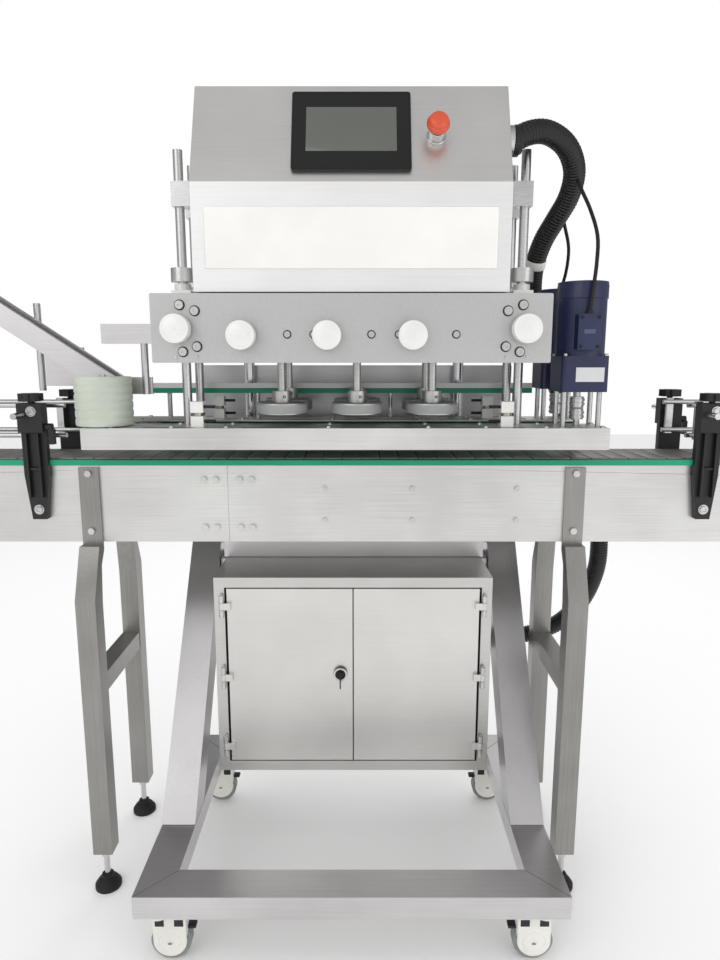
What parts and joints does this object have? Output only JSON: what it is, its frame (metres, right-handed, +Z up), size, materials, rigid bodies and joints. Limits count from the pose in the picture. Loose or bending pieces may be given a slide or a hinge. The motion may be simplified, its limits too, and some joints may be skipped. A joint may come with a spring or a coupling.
{
  "type": "capping machine",
  "caption": "In-line wheel-type screw capping machine: conveyor through a lifting head with paired spindle wheels, gripper belts, cap chute, sloping control panel and castor base.",
  "frame": {"origin": "on the floor below the middle of the conveyor, where its centreline crosses the machine's width centre", "axes": "+X along the conveyor's travel, +Y from the operator's side to the back, +Z up"},
  "size_m": [2, 0.676, 1.5885],
  "materials": {
    "stainless": "brushed",
    "stainless_frame": "satin",
    "anodised": "matte anodised",
    "hard_chrome": "polished",
    "navy_paint": "semi-gloss",
    "green_plastic": "matte",
    "black_plastic": "matte",
    "black_rubber": "matte",
    "cream_plastic": "semi-gloss",
    "red_plastic": "gloss",
    "clear_urethane": "translucent satin",
    "green_zinc": "semi-gloss",
    "machined_steel": "machined"
  },
  "bodies": {
    "machine": {"base_frame": "stainless_frame", "support_legs": "stainless_frame", "rear_housing": "stainless_frame", "electrical_cabinet": "stainless", "castor_plates": "green_zinc", "conveyor_side_plates": "stainless", "conveyor_wear_strips": "green_plastic", "conveyor_chain": "stainless", "conveyor_legs": "stainless_frame", "levelling_feet": "black_rubber", "conveyor_gearmotor": "navy_paint", "machine_fittings": "stainless", "side_guides": "black_plastic"},
    "head": {"lift_columns": "hard_chrome", "head_housing": "stainless", "head_front_plate": "anodised", "spindle_drive": "navy_paint", "control_box": "stainless", "touch_panel": "black_plastic", "post_fittings": "machined_steel", "gripper_trays": "stainless", "gripper_belts": "green_plastic", "gripper_gearmotors": "navy_paint", "cap_chute": "stainless", "control_conduit": "black_rubber", "motor_cable_front": "black_rubber", "motor_cable_rear": "black_rubber"},
    "door_left": {"cabinet_door_left": "stainless"},
    "door_right": {"cabinet_door_right": "stainless"},
    "door_lock": {"door_lock": "machined_steel"},
    "castor_fork_1": {"castor_fork_1": "cream_plastic"},
    "castor_wheel_1": {"castor_wheel_1": "black_plastic"},
    "castor_fork_2": {"castor_fork_2": "cream_plastic"},
    "castor_wheel_2": {"castor_wheel_2": "black_plastic"},
    "castor_fork_3": {"castor_fork_3": "cream_plastic"},
    "castor_wheel_3": {"castor_wheel_3": "black_plastic"},
    "castor_fork_4": {"castor_fork_4": "cream_plastic"},
    "castor_wheel_4": {"castor_wheel_4": "black_plastic"},
    "conveyor_drive_shaft": {"conveyor_drive_shaft": "machined_steel"},
    "conveyor_idler_shaft": {"conveyor_idler_shaft": "machined_steel"},
    "spindle_carriage_1": {"spindle_carriage_1": "machined_steel"},
    "spindle_carriage_2": {"spindle_carriage_2": "machined_steel"},
    "spindle_carriage_3": {"spindle_carriage_3": "machined_steel"},
    "rear_spindle_1": {"rear_spindle_1": "machined_steel"},
    "rear_spindle_2": {"rear_spindle_2": "machined_steel"},
    "rear_spindle_3": {"rear_spindle_3": "machined_steel"},
    "front_spindle_1": {"front_spindle_1": "machined_steel"},
    "front_spindle_2": {"front_spindle_2": "machined_steel"},
    "front_spindle_3": {"front_spindle_3": "machined_steel"},
    "knob_1": {"knob_1": "anodised"},
    "knob_2": {"knob_2": "anodised"},
    "knob_3": {"knob_3": "anodised"},
    "knob_4": {"knob_4": "anodised"},
    "knob_5": {"knob_5": "anodised"},
    "stop_button": {"stop_button": "red_plastic"},
    "drive_pulley_front": {"drive_pulley_front": "machined_steel"},
    "drive_pulley_rear": {"drive_pulley_rear": "machined_steel"},
    "idler_pulley_front": {"idler_pulley_front": "machined_steel"},
    "idler_pulley_rear": {"idler_pulley_rear": "machined_steel"},
    "spacing_roller": {"spacing_roller": "clear_urethane"}
  },
  "joints": [
    {"name": "head_lift", "type": "slide", "parent": "machine", "child": "head", "axis": [0, 0, 1], "range_m": [0, 0.14], "deforming": ["control_conduit"]},
    {"name": "door_left_hinge", "type": "hinge", "parent": "machine", "child": "door_left", "pos_m": [-0.284, -0.022, 0.426], "axis": [0, 0, 1], "range_deg": [-110, 0]},
    {"name": "door_right_hinge", "type": "hinge", "parent": "machine", "child": "door_right", "pos_m": [0.284, -0.022, 0.426], "axis": [0, 0, 1], "range_deg": [0, 110]},
    {"name": "door_lock_turn", "type": "hinge", "parent": "door_left", "child": "door_lock", "pos_m": [-0.028, -0.016, 0.43464], "axis": [0, 1, 0], "range_deg": [-90, 0]},
    {"name": "castor_swivel_1", "type": "hinge", "parent": "machine", "child": "castor_fork_1", "pos_m": [-0.362, -0.3, 0.092], "axis": [0, 0, 1], "continuous": true},
    {"name": "castor_roll_1", "type": "hinge", "parent": "castor_fork_1", "child": "castor_wheel_1", "pos_m": [-0.34, -0.3, 0.0375], "axis": [0, 1, 0], "continuous": true},
    {"name": "castor_swivel_2", "type": "hinge", "parent": "machine", "child": "castor_fork_2", "pos_m": [0.362, -0.3, 0.092], "axis": [0, 0, 1], "continuous": true},
    {"name": "castor_roll_2", "type": "hinge", "parent": "castor_fork_2", "child": "castor_wheel_2", "pos_m": [0.34, -0.3, 0.0375], "axis": [0, 1, 0], "continuous": true},
    {"name": "castor_swivel_3", "type": "hinge", "parent": "machine", "child": "castor_fork_3", "pos_m": [-0.362, 0.177, 0.092], "axis": [0, 0, 1], "continuous": true},
    {"name": "castor_roll_3", "type": "hinge", "parent": "castor_fork_3", "child": "castor_wheel_3", "pos_m": [-0.34, 0.177, 0.0375], "axis": [0, 1, 0], "continuous": true},
    {"name": "castor_swivel_4", "type": "hinge", "parent": "machine", "child": "castor_fork_4", "pos_m": [0.362, 0.177, 0.092], "axis": [0, 0, 1], "continuous": true},
    {"name": "castor_roll_4", "type": "hinge", "parent": "castor_fork_4", "child": "castor_wheel_4", "pos_m": [0.34, 0.177, 0.0375], "axis": [0, 1, 0], "continuous": true},
    {"name": "conveyor_drive_spin", "type": "hinge", "parent": "machine", "child": "conveyor_drive_shaft", "pos_m": [0.92, 0, 0.852], "axis": [0, 1, 0], "continuous": true},
    {"name": "conveyor_idler_spin", "type": "hinge", "parent": "machine", "child": "conveyor_idler_shaft", "pos_m": [-0.92, 0, 0.852], "axis": [0, 1, 0], "continuous": true},
    {"name": "spindle_spread_1", "type": "slide", "parent": "head", "child": "spindle_carriage_1", "axis": [0, 1, 0], "range_m": [-0.02, 0.01]},
    {"name": "spindle_spread_2", "type": "slide", "parent": "head", "child": "spindle_carriage_2", "axis": [0, 1, 0], "range_m": [-0.02, 0.01]},
    {"name": "spindle_spread_3", "type": "slide", "parent": "head", "child": "spindle_carriage_3", "axis": [0, 1, 0], "range_m": [-0.02, 0.01]},
    {"name": "rear_spindle_spin_1", "type": "hinge", "parent": "head", "child": "rear_spindle_1", "pos_m": [-0.139, 0.07, 1.02], "axis": [0, 0, 1], "continuous": true},
    {"name": "rear_spindle_spin_2", "type": "hinge", "parent": "head", "child": "rear_spindle_2", "pos_m": [0.009, 0.07, 1.02], "axis": [0, 0, 1], "continuous": true},
    {"name": "rear_spindle_spin_3", "type": "hinge", "parent": "head", "child": "rear_spindle_3", "pos_m": [0.157, 0.07, 1.02], "axis": [0, 0, 1], "continuous": true},
    {"name": "front_spindle_spin_1", "type": "hinge", "parent": "spindle_carriage_1", "child": "front_spindle_1", "pos_m": [-0.139, -0.07, 1.02], "axis": [0, 0, 1], "continuous": true},
    {"name": "front_spindle_spin_2", "type": "hinge", "parent": "spindle_carriage_2", "child": "front_spindle_2", "pos_m": [0.009, -0.07, 1.02], "axis": [0, 0, 1], "continuous": true},
    {"name": "front_spindle_spin_3", "type": "hinge", "parent": "spindle_carriage_3", "child": "front_spindle_3", "pos_m": [0.157, -0.07, 1.02], "axis": [0, 0, 1], "continuous": true},
    {"name": "knob_turn_1", "type": "hinge", "parent": "head", "child": "knob_1", "pos_m": [-0.302, -0.211, 1.167], "axis": [0, 1, 0], "range_deg": [-540, 0]},
    {"name": "knob_turn_2", "type": "hinge", "parent": "head", "child": "knob_2", "pos_m": [-0.19, -0.211, 1.156], "axis": [0, 1, 0], "range_deg": [-1440, 720]},
    {"name": "knob_turn_3", "type": "hinge", "parent": "head", "child": "knob_3", "pos_m": [-0.042, -0.211, 1.156], "axis": [0, 1, 0], "range_deg": [-1440, 720]},
    {"name": "knob_turn_4", "type": "hinge", "parent": "head", "child": "knob_4", "pos_m": [0.106, -0.211, 1.156], "axis": [0, 1, 0], "range_deg": [-1440, 720]},
    {"name": "knob_turn_5", "type": "hinge", "parent": "head", "child": "knob_5", "pos_m": [0.302, -0.211, 1.167], "axis": [0, 1, 0], "range_deg": [-540, 0]},
    {"name": "stop_button_press", "type": "slide", "parent": "head", "child": "stop_button", "axis": [0, 0.9245, -0.3811], "range_m": [0, 0.005], "stiffness_N_per_m": 2000},
    {"name": "drive_pulley_front_spin", "type": "hinge", "parent": "head", "child": "drive_pulley_front", "pos_m": [0.443, -0.074, 0.965], "axis": [0, 0, 1], "continuous": true},
    {"name": "drive_pulley_rear_spin", "type": "hinge", "parent": "head", "child": "drive_pulley_rear", "pos_m": [0.443, 0.074, 0.965], "axis": [0, 0, 1], "continuous": true},
    {"name": "idler_pulley_front_spin", "type": "hinge", "parent": "head", "child": "idler_pulley_front", "pos_m": [-0.443, -0.074, 0.965], "axis": [0, 0, 1], "continuous": true},
    {"name": "idler_pulley_rear_spin", "type": "hinge", "parent": "head", "child": "idler_pulley_rear", "pos_m": [-0.443, 0.074, 0.965], "axis": [0, 0, 1], "continuous": true},
    {"name": "spacing_roller_spin", "type": "hinge", "parent": "head", "child": "spacing_roller", "pos_m": [-0.483, -0.092, 1.035], "axis": [0, 0, 1], "continuous": true}
  ],
  "couplings": [
    {"joint": "conveyor_idler_spin", "follows": "conveyor_drive_spin", "ratio": 1},
    {"joint": "rear_spindle_spin_2", "follows": "rear_spindle_spin_1", "ratio": 1},
    {"joint": "rear_spindle_spin_3", "follows": "rear_spindle_spin_1", "ratio": 1},
    {"joint": "front_spindle_spin_1", "follows": "rear_spindle_spin_1", "ratio": 1},
    {"joint": "front_spindle_spin_2", "follows": "rear_spindle_spin_1", "ratio": 1},
    {"joint": "front_spindle_spin_3", "follows": "rear_spindle_spin_1", "ratio": 1},
    {"joint": "knob_turn_2", "follows": "spindle_spread_1", "rad_per_m": 1256.6},
    {"joint": "knob_turn_3", "follows": "spindle_spread_2", "rad_per_m": 1256.6},
    {"joint": "knob_turn_4", "follows": "spindle_spread_3", "rad_per_m": 1256.6},
    {"joint": "drive_pulley_rear_spin", "follows": "drive_pulley_front_spin", "ratio": -1},
    {"joint": "idler_pulley_front_spin", "follows": "drive_pulley_front_spin", "ratio": 1},
    {"joint": "idler_pulley_rear_spin", "follows": "drive_pulley_front_spin", "ratio": -1}
  ]
}
